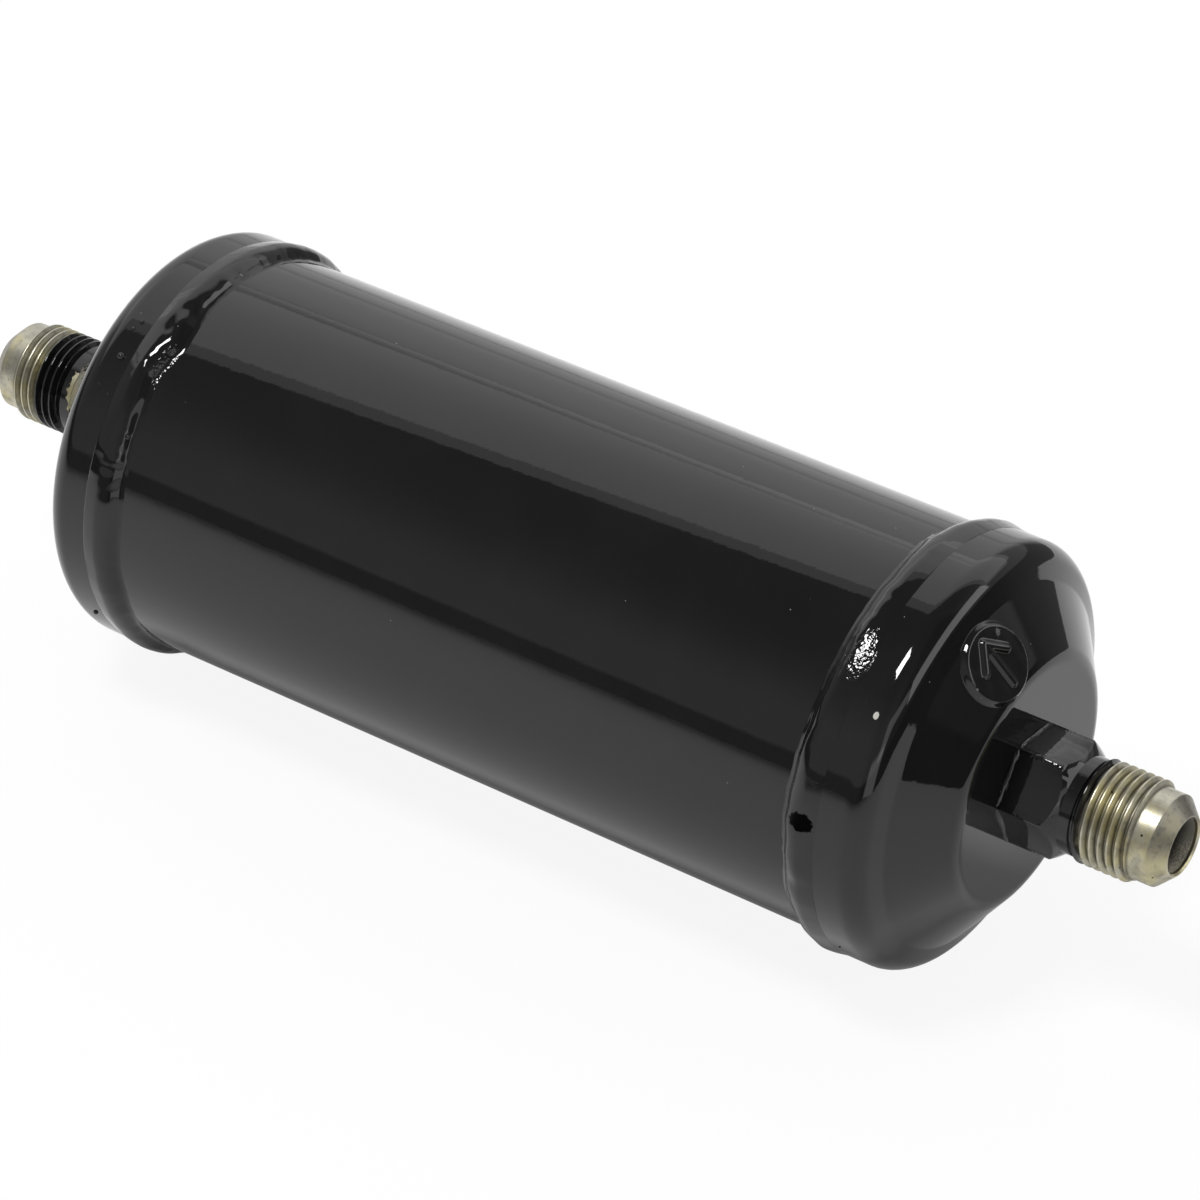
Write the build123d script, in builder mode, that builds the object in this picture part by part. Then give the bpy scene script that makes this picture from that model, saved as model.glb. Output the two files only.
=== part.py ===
"""Filter drier for a refrigerant line: a welded steel shell with flare fittings and a moulded core.

The flow axis is X. The inlet end points along +X, the outlet end along -X, and the origin is the
middle of the drier on its axis. All sizes are in millimetres.
"""
from build123d import *
import math
import os

# ---- Driving dimensions -------------------------------------------------------------------------
OVERALL_LENGTH = 215.0          # from flare nose to flare nose
INLET, OUTLET = 1, -1           # the two ends, as signs of X

# Shell tube
SHELL_RADIUS = 32.0
SHELL_WALL = 1.5
SHELL_LENGTH = 141.0
SLIP = 0.05                     # radial gap where one piece slides into another

# Pressed end caps, measured from the middle of the drier
CAP_WALL = 1.3
CAP_EDGE = 66.2                 # free edge of the skirt
CAP_SHOULDER = (73.2, 33.35)    # corner of skirt and shoulder, before rounding
CAP_CREASE = (75.2, 28.5)       # shallow valley between shoulder and flank
CAP_LAND = (81.8, 19.4)         # corner of flank and flat land, before rounding
CAP_ROUNDS = (4.0, 2.0, 3.5)    # outer radii at shoulder, crease and land
CAP_HOLE_RADIUS = 6.55
EDGE_ROUND = 1.1                # outer corner of the skirt, melted round by the weld

# Embossed round pad on the flank of the inlet cap
PAD_RADIUS = 5.7
PAD_HEIGHT = 0.75
PAD_AXIAL, PAD_RADIAL = 78.3, 24.0
PAD_ANGLE = 103.7               # degrees from +Y towards +Z
PAD_WALL_TAPER = 25.0

# Weld beads between skirt and tube
BEAD_TOE = 60.3
BEAD_CREST = (63.4, 33.85)
BEAD_HEEL = (66.9, 32.8)

# Flare fittings: 45 degree flare for 3/8 in tube, 5/8-18 thread
HEX_FLATS = 15.9
HEX_LENGTH = 9.0
HEX_ANGLE = 142.9               # degrees from +Y towards +Z of one flat's normal
HEX_CHAMFER = 1.8
SPIGOT_RADIUS = 6.5
SPIGOT_LENGTH = 3.4
COLLAR_RADIUS = 7.45
COLLAR_LENGTH = 1.8
THREAD_RADIUS = 7.94
THREAD_LENGTH = 9.7
THREAD_CHAMFER = 0.6
NOSE_RADIUS = 7.05
LIP_RADIUS = 4.75
BORE_RADIUS = 4.3
BORE_CHAMFER = 0.25

# Braze fillet round the root of each hexagon
BRAZE_WIDTH = 0.9
BRAZE_HEIGHT = 0.8

# Perforated outlet plate, a shallow cup whose flange stands on the shoulder of the outlet cap
PLATE_WALL = 1.2
PLATE_FACE = 64.0
PLATE_FLANGE_END = 72.98
PLATE_ROUND = 2.2
PLATE_HOLE_RADIUS = 2.6
PLATE_HOLE_RINGS = ((0.0, 1), (9.5, 6), (19.0, 12))

# Discs stacked on the outlet plate
MESH_THICKNESS = 0.5
MESH_RADIUS = 29.8
MAT_THICKNESS = 5.0
MAT_RADIUS = 30.3

# Moulded desiccant core
CORE_LENGTH = 104.0
CORE_RADIUS = 26.8
CORE_COLLAR_RADIUS = 30.2
CORE_COLLAR_LENGTH = 9.0
CORE_COLLAR_TAPER = 5.0
CORE_BORE_MOUTH = 8.5
CORE_BORE_END = 6.5
CORE_BORE_DEPTH = 86.0
CORE_RIB_WIDTH = 5.0
CORE_RIB_LENGTH = 24.0
CORE_RIBS = 4
CORE_NOSE_BEVEL = 5.0

# Felt washer, spring plate and spring on the inlet end of the core
FELT_THICKNESS = 3.0
FELT_RADIUS = 20.0
SEAT_WALL = 1.2
SEAT_RADIUS = 23.5
SEAT_HUB_RADIUS = 10.5
SEAT_HUB_HEIGHT = 3.0
SEAT_SLOTS = 6
SEAT_SLOT_RADIUS = 2.6
SPRING_WIRE_RADIUS = 1.1
SPRING_WIRE_SIDES = 8           # round wire, drawn as a polygon
SPRING_RADIUS = 13.5
SPRING_TURNS = 3.0

# ---- Stations that follow from them -------------------------------------------------------------
TIP = OVERALL_LENGTH / 2
LAND = CAP_LAND[0]
HEX_END = LAND + HEX_LENGTH
COLLAR_END = HEX_END + COLLAR_LENGTH
THREAD_END = COLLAR_END + THREAD_LENGTH
NOSE_EDGE = TIP - (NOSE_RADIUS - LIP_RADIUS)      # the flare cone is 45 degrees
SPIGOT_END = LAND - SPIGOT_LENGTH
SHELL_BORE = SHELL_RADIUS - SHELL_WALL

MESH_FACE = -PLATE_FACE + MESH_THICKNESS
CORE_START = MESH_FACE + MAT_THICKNESS
CORE_END = CORE_START + CORE_LENGTH
SEAT_START = CORE_END + FELT_THICKNESS
SPRING_START = SEAT_START + SEAT_WALL
SPRING_END = LAND - CAP_WALL


def axial_plane(end):
    """Half plane through the axis, with its x towards the given end and its y along +Z."""
    return Plane(origin=(0, 0, 0), x_dir=(end, 0, 0), z_dir=(0, -end, 0))


def cross_plane(end, station, angle=0.0):
    """Plane across the axis at a station, facing its end, with its x turned to an angle from +Y."""
    turn = math.radians(angle)
    return Plane(
        origin=(end * station, 0, 0),
        x_dir=(0, math.cos(turn), math.sin(turn)),
        z_dir=(end, 0, 0),
    )


def save(builder, name):
    """Label a finished piece and write it to its own file."""
    builder.part.label = name
    export_step(builder.part, f"parts/{name}.step")


def disc(start, thickness, radius):
    """Plain disc across the axis, from a station along +X."""
    with BuildPart() as piece:
        with BuildSketch(Plane.YZ.offset(start)):
            Circle(radius)
        extrude(amount=thickness)
    return piece


# ---- Shell --------------------------------------------------------------------------------------
def shell_tube():
    with BuildPart() as tube:
        with BuildSketch(Plane.YZ):
            Circle(SHELL_RADIUS)
            Circle(SHELL_BORE, mode=Mode.SUBTRACT)
        extrude(amount=SHELL_LENGTH / 2, both=True)
    return tube


def end_cap(end):
    """Pressed cap: a constant wall under one outer outline, with a hole for the fitting."""
    with BuildPart() as cap:
        with BuildSketch(axial_plane(end)) as section:
            with BuildLine():
                FilletPolyline(
                    (CAP_EDGE, CAP_SHOULDER[1]),
                    CAP_SHOULDER,
                    CAP_CREASE,
                    CAP_LAND,
                    (LAND, CAP_HOLE_RADIUS),
                    radius=CAP_ROUNDS,
                )
                offset(amount=CAP_WALL, side=Side.RIGHT)
            make_face()
            skirt_edge = section.vertices().group_by(Axis.X)[0]
            fillet(skirt_edge.sort_by(Axis.Y)[-1], EDGE_ROUND)
        revolve(axis=Axis.X)
    return cap


def pad_plane():
    """Plane on the flank of the inlet cap, facing outwards, where the pad is embossed."""
    run = CAP_LAND[0] - CAP_CREASE[0]
    drop = CAP_CREASE[1] - CAP_LAND[1]
    turn = math.radians(PAD_ANGLE)
    outward = (0, math.cos(turn), math.sin(turn))
    return Plane(
        origin=(PAD_AXIAL, PAD_RADIAL * outward[1], PAD_RADIAL * outward[2]),
        x_dir=(-run, drop * outward[1], drop * outward[2]),
        z_dir=(drop, run * outward[1], run * outward[2]),
    )


def inlet_cap():
    """End cap with a round pad pressed out of its flank, hollow behind as pressed sheet is."""
    with BuildPart() as cap:
        add(end_cap(INLET).part)
        with BuildSketch(pad_plane().offset(-CAP_WALL / 2)):
            Circle(PAD_RADIUS + (PAD_HEIGHT + CAP_WALL / 2) * math.tan(math.radians(PAD_WALL_TAPER)))
        extrude(amount=PAD_HEIGHT + CAP_WALL / 2, taper=PAD_WALL_TAPER)
        with BuildSketch(pad_plane().offset(PAD_HEIGHT - CAP_WALL)):
            Circle(PAD_RADIUS - CAP_WALL / 2)
        extrude(amount=-2 * CAP_WALL, mode=Mode.SUBTRACT)
    return cap


def weld_bead(end, cap):
    """Bead lying in the corner between the tube and the edge of the cap's skirt."""
    with BuildPart() as bead:
        with BuildSketch(axial_plane(end)):
            with BuildLine():
                ThreePointArc((BEAD_TOE, SHELL_RADIUS), BEAD_CREST, BEAD_HEEL)
                Polyline(BEAD_HEEL, (BEAD_HEEL[0], SHELL_RADIUS), (BEAD_TOE, SHELL_RADIUS))
            make_face()
        revolve(axis=Axis.X)
        add(cap.part, mode=Mode.SUBTRACT)
    return bead


# ---- Fittings -----------------------------------------------------------------------------------
def hexagon_prism(end, flats, height, taper=0.0):
    """Hexagonal prism standing on the cap's land, one flat turned to the hexagon's angle."""
    with BuildPart() as prism:
        with BuildSketch(cross_plane(end, LAND, HEX_ANGLE)):
            RegularPolygon(radius=flats / 2, side_count=6, major_radius=False, rotation=30)
        extrude(amount=height, taper=taper)
    return prism


def flare_fitting(end):
    """Turned fitting: spigot, chamfered hexagon, collar, thread at its major size, flare nose, bore."""
    corner = HEX_FLATS / 2 / math.cos(math.radians(30))
    with BuildPart() as fitting:
        add(hexagon_prism(end, HEX_FLATS, HEX_LENGTH).part)
        with BuildSketch(axial_plane(end)):
            with BuildLine():
                Polyline(
                    (LAND, 0),
                    (LAND, corner),
                    (HEX_END - HEX_CHAMFER, corner),
                    (HEX_END, COLLAR_RADIUS + SLIP),
                    (HEX_END, 0),
                    close=True,
                )
            make_face()
        revolve(axis=Axis.X, mode=Mode.INTERSECT)
        with BuildSketch(axial_plane(end)):
            with BuildLine():
                Polyline(
                    (SPIGOT_END, BORE_RADIUS),
                    (SPIGOT_END, SPIGOT_RADIUS),
                    (LAND, SPIGOT_RADIUS),
                    (HEX_END, COLLAR_RADIUS),
                    (COLLAR_END, COLLAR_RADIUS),
                    (COLLAR_END + THREAD_CHAMFER, THREAD_RADIUS),
                    (THREAD_END - THREAD_CHAMFER, THREAD_RADIUS),
                    (THREAD_END, NOSE_RADIUS),
                    (NOSE_EDGE, NOSE_RADIUS),
                    (TIP, LIP_RADIUS),
                    (TIP, BORE_RADIUS + BORE_CHAMFER),
                    (TIP - BORE_CHAMFER, BORE_RADIUS),
                    close=True,
                )
            make_face()
        revolve(axis=Axis.X)
        with BuildSketch(cross_plane(end, SPIGOT_END)):
            Circle(BORE_RADIUS)
        extrude(amount=HEX_END - SPIGOT_END, mode=Mode.SUBTRACT)
    return fitting


def braze_fillet(end, fitting):
    """Fillet of braze drawn round the foot of the hexagon on the land of the cap."""
    taper = math.degrees(math.atan(BRAZE_WIDTH / BRAZE_HEIGHT))
    with BuildPart() as ring:
        add(hexagon_prism(end, HEX_FLATS + 2 * BRAZE_WIDTH, BRAZE_HEIGHT, taper - 1).part)
        add(fitting.part, mode=Mode.SUBTRACT)
        with BuildSketch(cross_plane(end, LAND)):
            Circle(CAP_HOLE_RADIUS)
        extrude(amount=BRAZE_HEIGHT, mode=Mode.SUBTRACT)
    return ring


# ---- Filter stack -------------------------------------------------------------------------------
def outlet_plate():
    """Perforated cup that carries the filter stack on the shoulder of the outlet cap."""
    radius = SHELL_BORE - SLIP
    with BuildPart() as plate:
        with BuildSketch(axial_plane(OUTLET)):
            with BuildLine():
                FilletPolyline(
                    (PLATE_FACE, 0),
                    (PLATE_FACE, radius),
                    (PLATE_FLANGE_END, radius),
                    radius=PLATE_ROUND,
                )
                offset(amount=PLATE_WALL, side=Side.RIGHT)
            make_face()
        revolve(axis=Axis.X)
        for ring_radius, count in PLATE_HOLE_RINGS:
            with BuildSketch(Plane.YZ.offset(-PLATE_FACE)):
                with PolarLocations(ring_radius, count):
                    Circle(PLATE_HOLE_RADIUS)
            extrude(amount=-2 * PLATE_WALL, mode=Mode.SUBTRACT)
    return plate


def desiccant_core():
    """Moulded core: a collar on the filter mat, ribs that centre it, and a blind tapered bore."""
    with BuildPart() as core:
        with BuildSketch(axial_plane(INLET)):
            with BuildLine():
                Polyline(
                    (CORE_START, 0),
                    (CORE_START, CORE_COLLAR_RADIUS),
                    (CORE_START + CORE_COLLAR_LENGTH, CORE_COLLAR_RADIUS),
                    (CORE_START + CORE_COLLAR_LENGTH + CORE_COLLAR_TAPER, CORE_RADIUS),
                    (CORE_END - CORE_NOSE_BEVEL, CORE_RADIUS),
                    (CORE_END, CORE_RADIUS - CORE_NOSE_BEVEL),
                    (CORE_END, 0),
                    close=True,
                )
            make_face()
        revolve(axis=Axis.X)
        with BuildSketch(Plane.YZ.offset(CORE_END - CORE_NOSE_BEVEL)):
            with PolarLocations(CORE_COLLAR_RADIUS / 2, CORE_RIBS):
                Rectangle(CORE_COLLAR_RADIUS, CORE_RIB_WIDTH)
            Circle(CORE_COLLAR_RADIUS, mode=Mode.INTERSECT)
        extrude(amount=-CORE_RIB_LENGTH)
        with BuildSketch(Plane.YZ.offset(CORE_START)) as mouth:
            Circle(CORE_BORE_MOUTH)
        with BuildSketch(Plane.YZ.offset(CORE_START + CORE_BORE_DEPTH)) as blind_end:
            Circle(CORE_BORE_END)
        loft(sections=[mouth.sketch, blind_end.sketch], mode=Mode.SUBTRACT)
    return core


def spring_plate():
    """Pressed plate: a hub that locates the spring and slots that let the flow past."""
    with BuildPart() as plate:
        with BuildSketch(axial_plane(INLET)):
            with BuildLine():
                FilletPolyline(
                    (SPRING_START + SEAT_HUB_HEIGHT, 0),
                    (SPRING_START + SEAT_HUB_HEIGHT, SEAT_HUB_RADIUS),
                    (SPRING_START, SEAT_HUB_RADIUS + 0.8),
                    (SPRING_START, SEAT_RADIUS),
                    radius=(1.5, 0.4),
                )
                offset(amount=SEAT_WALL, side=Side.LEFT)
            make_face()
        revolve(axis=Axis.X)
        with BuildSketch(Plane.YZ.offset(SEAT_START)):
            with PolarLocations(SEAT_RADIUS, SEAT_SLOTS):
                Circle(SEAT_SLOT_RADIUS)
        extrude(amount=SEAT_WALL, mode=Mode.SUBTRACT)
    return plate


def spring():
    """Compression spring with ground ends, standing between its plate and the inlet cap."""
    height = SPRING_END - SPRING_START
    with BuildPart() as coil:
        with BuildLine() as path:
            Helix(
                pitch=height / SPRING_TURNS,
                height=height,
                radius=SPRING_RADIUS,
                center=(SPRING_START, 0, 0),
                direction=(1, 0, 0),
            )
        with BuildSketch(Plane(origin=path.line @ 0, z_dir=path.line % 0)):
            RegularPolygon(SPRING_WIRE_RADIUS, SPRING_WIRE_SIDES)
        sweep(is_frenet=True)
        split(bisect_by=Plane.YZ.offset(SPRING_START), keep=Keep.TOP)
        split(bisect_by=Plane.YZ.offset(SPRING_END), keep=Keep.BOTTOM)
    return coil


def main():
    os.makedirs("parts", exist_ok=True)
    save(shell_tube(), "shell_tube")
    caps = {INLET: inlet_cap(), OUTLET: end_cap(OUTLET)}
    for end, name in ((INLET, "inlet"), (OUTLET, "outlet")):
        fitting = flare_fitting(end)
        save(caps[end], f"{name}_cap")
        save(weld_bead(end, caps[end]), f"{name}_weld")
        save(fitting, f"{name}_fitting")
        save(braze_fillet(end, fitting), f"{name}_braze")
    save(outlet_plate(), "outlet_plate")
    save(disc(-PLATE_FACE, MESH_THICKNESS, MESH_RADIUS), "outlet_mesh")
    save(disc(MESH_FACE, MAT_THICKNESS, MAT_RADIUS), "outlet_mat")
    save(desiccant_core(), "desiccant_core")
    save(disc(CORE_END, FELT_THICKNESS, FELT_RADIUS), "core_felt")
    save(spring_plate(), "spring_plate")
    save(spring(), "spring")


main()
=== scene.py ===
"""Filter drier: painted skin, weld beads, threads, finishes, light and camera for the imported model."""

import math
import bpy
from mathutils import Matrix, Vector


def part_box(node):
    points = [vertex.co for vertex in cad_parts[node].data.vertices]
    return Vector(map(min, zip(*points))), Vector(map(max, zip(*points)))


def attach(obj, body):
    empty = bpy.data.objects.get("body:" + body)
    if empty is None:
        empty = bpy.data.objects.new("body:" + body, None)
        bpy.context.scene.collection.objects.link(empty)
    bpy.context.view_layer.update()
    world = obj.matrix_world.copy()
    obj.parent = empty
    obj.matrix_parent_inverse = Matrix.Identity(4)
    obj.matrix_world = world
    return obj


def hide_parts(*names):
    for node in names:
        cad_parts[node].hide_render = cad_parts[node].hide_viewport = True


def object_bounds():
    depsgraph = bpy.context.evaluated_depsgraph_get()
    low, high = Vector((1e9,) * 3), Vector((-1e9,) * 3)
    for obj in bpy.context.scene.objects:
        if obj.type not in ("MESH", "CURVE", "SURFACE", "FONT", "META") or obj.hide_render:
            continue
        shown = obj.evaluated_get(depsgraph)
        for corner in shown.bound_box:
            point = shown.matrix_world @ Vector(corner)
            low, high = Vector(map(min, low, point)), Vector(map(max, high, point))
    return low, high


bl_info = {
    "name": "Filter Drier",
    "version": (1, 0, 0),
    "blender": (4, 5, 0),
    "location": "3D View > Sidebar > Drier",
    "description": "Dresses the packed filter drier with its paint, welds and threads",
    "category": "Object",
}

import bmesh
import bpy
from mathutils import Matrix, Vector, noise
from mathutils.bvhtree import BVHTree

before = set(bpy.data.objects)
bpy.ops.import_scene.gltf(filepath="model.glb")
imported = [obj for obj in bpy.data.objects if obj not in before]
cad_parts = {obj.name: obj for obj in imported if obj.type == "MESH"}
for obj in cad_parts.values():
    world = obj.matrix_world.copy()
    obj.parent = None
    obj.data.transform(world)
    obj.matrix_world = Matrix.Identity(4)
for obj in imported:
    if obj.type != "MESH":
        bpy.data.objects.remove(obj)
CAD_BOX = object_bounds()

MM = 0.001
INLET, OUTLET = 1, -1
SIDES = {INLET: "inlet", OUTLET: "outlet"}
TUBE_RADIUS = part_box("shell_tube")[1].z / MM
TUBE_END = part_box("shell_tube")[1].x / MM
TIP = CAD_BOX[1][0] / MM
FLOOR = CAD_BOX[0][2]


# ---- Settings -----------------------------------------------------------------------------------
class ShellSettings(bpy.types.PropertyGroup):
    """Sizes of the shell that the frame's boxes don't give, in millimetres along and from the axis."""
    wall: bpy.props.FloatProperty(name="Tube wall", description="Thickness of the tube, mm", default=1.5)
    cap_wall: bpy.props.FloatProperty(name="Cap wall", description="Thickness of the caps, mm", default=1.3)
    skirt: bpy.props.FloatProperty(name="Skirt edge", description="Free edge of a cap, mm", default=66.2)
    land: bpy.props.FloatProperty(name="Land", description="Flat end of a cap, mm", default=81.8)
    hole: bpy.props.FloatProperty(name="Cap hole", description="Radius of a cap's hole, mm", default=6.55)
    bead_toe: bpy.props.FloatProperty(name="Bead toe", description="Where a weld bead starts, mm", default=60.3)
    bead_heel: bpy.props.FloatProperty(name="Bead heel", description="Where a weld bead ends, mm", default=66.9)
    bead_height: bpy.props.FloatProperty(
        name="Bead height", description="Crest above the tube, mm", default=1.85,
    )
    pad_radius: bpy.props.FloatProperty(name="Pad radius", description="Embossed pad, mm", default=5.7)
    pad_angle: bpy.props.FloatProperty(
        name="Pad angle", description="Place of the pad, from +Y towards +Z",
        default=math.radians(103.7), subtype="ANGLE", unit="ROTATION",
    )


class FittingSettings(bpy.types.PropertyGroup):
    """Sizes of the flare fittings, in millimetres."""
    flats: bpy.props.FloatProperty(name="Across flats", description="Hexagon, mm", default=15.9)
    hex_length: bpy.props.FloatProperty(name="Hexagon length", description="Along the axis, mm", default=9.0)
    hex_angle: bpy.props.FloatProperty(
        name="Hexagon angle", description="Normal of one flat, from +Y towards +Z",
        default=math.radians(142.9), subtype="ANGLE", unit="ROTATION",
    )
    collar_radius: bpy.props.FloatProperty(name="Collar radius", description="Neck, mm", default=7.45)
    thread_radius: bpy.props.FloatProperty(name="Thread radius", description="Crests, mm", default=7.94)
    thread_depth: bpy.props.FloatProperty(name="Thread depth", description="Crest to root, mm", default=0.82)
    pitch: bpy.props.FloatProperty(name="Pitch", description="Crest to crest, mm", default=1.411)
    bore_radius: bpy.props.FloatProperty(name="Bore radius", description="Flow bore, mm", default=4.3)


class FinishSettings(bpy.types.PropertyGroup):
    """Colours of the finishes."""
    enamel: bpy.props.FloatVectorProperty(
        name="Enamel", description="Gloss paint on the shell", default=(0.004, 0.004, 0.0042),
        size=3, min=0, max=1, subtype="COLOR",
    )
    plating: bpy.props.FloatVectorProperty(
        name="Plating", description="Bare plated ends of the fittings", default=(0.47, 0.45, 0.37),
        size=3, min=0, max=1, subtype="COLOR",
    )
    desiccant: bpy.props.FloatVectorProperty(
        name="Desiccant", description="Moulded core", default=(0.72, 0.68, 0.60),
        size=3, min=0, max=1, subtype="COLOR",
    )


def around_axis(station, degrees, radius):
    """Point in metres at a station along X, an angle from +Y towards +Z and a radius, in millimetres."""
    angle = math.radians(degrees)
    return Vector((station, radius * math.cos(angle), radius * math.sin(angle))) * MM


# ---- Shader writing -----------------------------------------------------------------------------
class Socket:
    """An output of a node; arithmetic on it adds Math nodes to the same tree."""

    def __init__(self, tree, socket):
        self.tree = tree
        self.socket = socket

    def maths(self, operation, *values):
        return add_node(self.tree, "ShaderNodeMath", {"operation": operation}, dict(enumerate(values)))

    def __add__(self, other):
        return self.maths("ADD", self, other)

    def __radd__(self, other):
        return self.maths("ADD", other, self)

    def __sub__(self, other):
        return self.maths("SUBTRACT", self, other)

    def __rsub__(self, other):
        return self.maths("SUBTRACT", other, self)

    def __mul__(self, other):
        return self.maths("MULTIPLY", self, other)

    def __rmul__(self, other):
        return self.maths("MULTIPLY", other, self)

    def __truediv__(self, other):
        return self.maths("DIVIDE", self, other)

    def __rtruediv__(self, other):
        return self.maths("DIVIDE", other, self)

    def __pow__(self, other):
        return self.maths("POWER", self, other)

    def largest(self, other):
        return self.maths("MAXIMUM", self, other)

    def ramp(self, low, high):
        """0 below low, 1 above high and smooth between them; low may be the larger."""
        return add_node(
            self.tree, "ShaderNodeMapRange", {"interpolation_type": "SMOOTHSTEP"},
            {"Value": self, "From Min": low, "From Max": high},
        )


def add_node(tree, kind, settings=None, sockets=None, output=0):
    """Add a node, set it up, set or link its inputs, and give one of its outputs."""
    node = tree.nodes.new(kind)
    for key, value in (settings or {}).items():
        setattr(node, key, value)
    for key, value in (sockets or {}).items():
        if isinstance(value, Socket):
            tree.links.new(value.socket, node.inputs[key])
        else:
            node.inputs[key].default_value = value
    return Socket(tree, node.outputs[output]) if node.outputs else None


class Finish:
    """A material: places on the surface to read, patterns on them, and the shader at the end."""

    def __init__(self, name):
        self.material = bpy.data.materials.new(name)
        self.material.use_nodes = True
        self.tree = self.material.node_tree
        self.tree.nodes.clear()
        self.place = self.add("ShaderNodeTexCoord", output="Object")
        split = self.add("ShaderNodeSeparateXYZ", {}, {0: self.place})
        self.x, self.y, self.z = (Socket(self.tree, out) for out in split.socket.node.outputs)

    def add(self, kind, settings=None, sockets=None, output=0):
        return add_node(self.tree, kind, settings, sockets, output)

    def mapped(self, scale, shift):
        """The place on the surface, scaled along each axis and shifted."""
        sockets = {"Vector": self.place, "Location": (shift,) * 3, "Scale": scale}
        return self.add("ShaderNodeMapping", {}, sockets)

    def noise(self, size, detail=2.0, stretch=(1, 1, 1), shift=0.0, rough=0.5):
        """Noise from 0 to 1 with features of about the given size in millimetres."""
        place = self.mapped([1 / (s * size * MM) for s in stretch], shift)
        return self.add(
            "ShaderNodeTexNoise", {}, {"Vector": place, "Scale": 1.0, "Detail": detail, "Roughness": rough},
        )

    def dots(self, spacing, radius, share, shift=0.0):
        """Sparse round dots: 1 inside, 0 outside, on a share of the cells of a jittered grid."""
        place = self.mapped((1 / (spacing * MM),) * 3, shift)
        cell = self.add("ShaderNodeTexVoronoi", {}, {"Vector": place, "Scale": 1.0})
        chosen = Socket(self.tree, cell.socket.node.outputs["Color"])
        lottery = self.add("ShaderNodeSeparateColor", {}, {0: chosen})
        return cell.ramp(radius / spacing, 0.7 * radius / spacing) * lottery.ramp(share, share - 0.001)

    def spot(self, centre, reach, ragged):
        """1 near a point of the surface and 0 past a reach in millimetres along each axis."""
        place = self.add(
            "ShaderNodeMapping", {"vector_type": "TEXTURE"},
            {"Vector": self.place, "Location": centre, "Scale": [r * MM for r in reach]},
        )
        distance = self.add("ShaderNodeVectorMath", {"operation": "LENGTH"}, {0: place}, "Value")
        return (distance + (self.noise(0.7, 2) - 0.5) * ragged * 2).ramp(1.0, 0.85)

    def blend(self, factor, first, second):
        """Colour that goes from the first to the second as the factor goes from 0 to 1."""
        rgba = [c if isinstance(c, Socket) else (*c, 1.0) for c in (first, second)]
        return self.add(
            "ShaderNodeMix", {"data_type": "RGBA"}, {0: factor, 6: rgba[0], 7: rgba[1]}, output=2,
        )

    def bump(self, height, depth, normal=None):
        """Bump of a height from 0 to 1 whose depth is in millimetres."""
        sockets = {"Height": height, "Distance": depth * MM, "Strength": 1.0}
        if normal:
            sockets["Normal"] = normal
        return self.add("ShaderNodeBump", {}, sockets)

    def shade(self, **inputs):
        """Principled shader with the given inputs, as the surface."""
        names = {key.replace("_", " "): value for key, value in inputs.items()}
        shader = self.add("ShaderNodeBsdfPrincipled", {}, names)
        self.add("ShaderNodeOutputMaterial", {}, {"Surface": shader})
        return self.material


# Colours of what lies on the paint and on the bare metal, and of the shade, highlights and glint painted on the
# fittings
DUST = (0.22, 0.22, 0.2)
PRIMER = (0.50, 0.49, 0.44)
SOOT = (0.0015, 0.0015, 0.0015)
YELLOWED = (0.50, 0.455, 0.27)
DULL_PLATING = (0.17, 0.16, 0.135)
ROOT_SHADE = (0.07, 0.065, 0.05)
CREST_HIGHLIGHT = (0.62, 0.59, 0.46)
BORE_STEEL = (0.50, 0.48, 0.42)
BORE_DEPTH_SHADE = (0.06, 0.06, 0.055)
GLINT_GOLD = (1.0, 0.93, 0.72)
NICK = (0.03, 0.028, 0.024)


def enamel_layers(finish, colour, sag=1.0):
    """Colour, roughness and normal of gloss enamel: orange peel, haze and a little dust."""
    dust = finish.dots(2.4, 0.11, 0.14) + finish.dots(6.5, 0.2, 0.22, 3.0)
    haze = finish.noise(14, 3, shift=2.0).ramp(0.35, 0.75)
    shade = finish.blend(haze, colour, [c * 1.4 for c in colour])
    shade = finish.blend(dust * 0.7, shade, DUST)
    rough = 0.036 + haze * 0.016 + dust * 0.3
    fine = finish.bump(finish.noise(1.0, 2), 0.0042 * sag)
    peel = finish.bump(finish.noise(5.0, 1, shift=4.0), 0.012 * sag, fine)
    return shade, rough, peel


def enamel(settings):
    finish = Finish("Gloss_Enamel")
    shade, rough, peel = enamel_layers(finish, settings.enamel)
    return finish.shade(Base_Color=shade, Roughness=rough, Normal=peel)


# Middle and reach along X and round of the stretch of each bead where the paint lies in fine dimples
PITTED = {INLET: ((64.9, 125.0), (1.7, 4.2)), OUTLET: ((61.0, 124.5), (1.3, 3.8))}
PIT_DEPTH = {INLET: 0.10, OUTLET: 0.09}
# Blemishes: station, angle in degrees and radius of the middle, then the reach along each axis
CHIP = (70.6, 137.4, 33.35), (0.42, 0.62, 0.62)
BURN = (64.0, 169.7, 33.4), (2.1, 1.5, 1.75)
FLAKED = (-90.2, 143, 8.6), (1.5, 4.2, 4.2)
PAINT_END = {INLET: 94.3, OUTLET: 97.6}      # how far the paint reaches along each fitting


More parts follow.
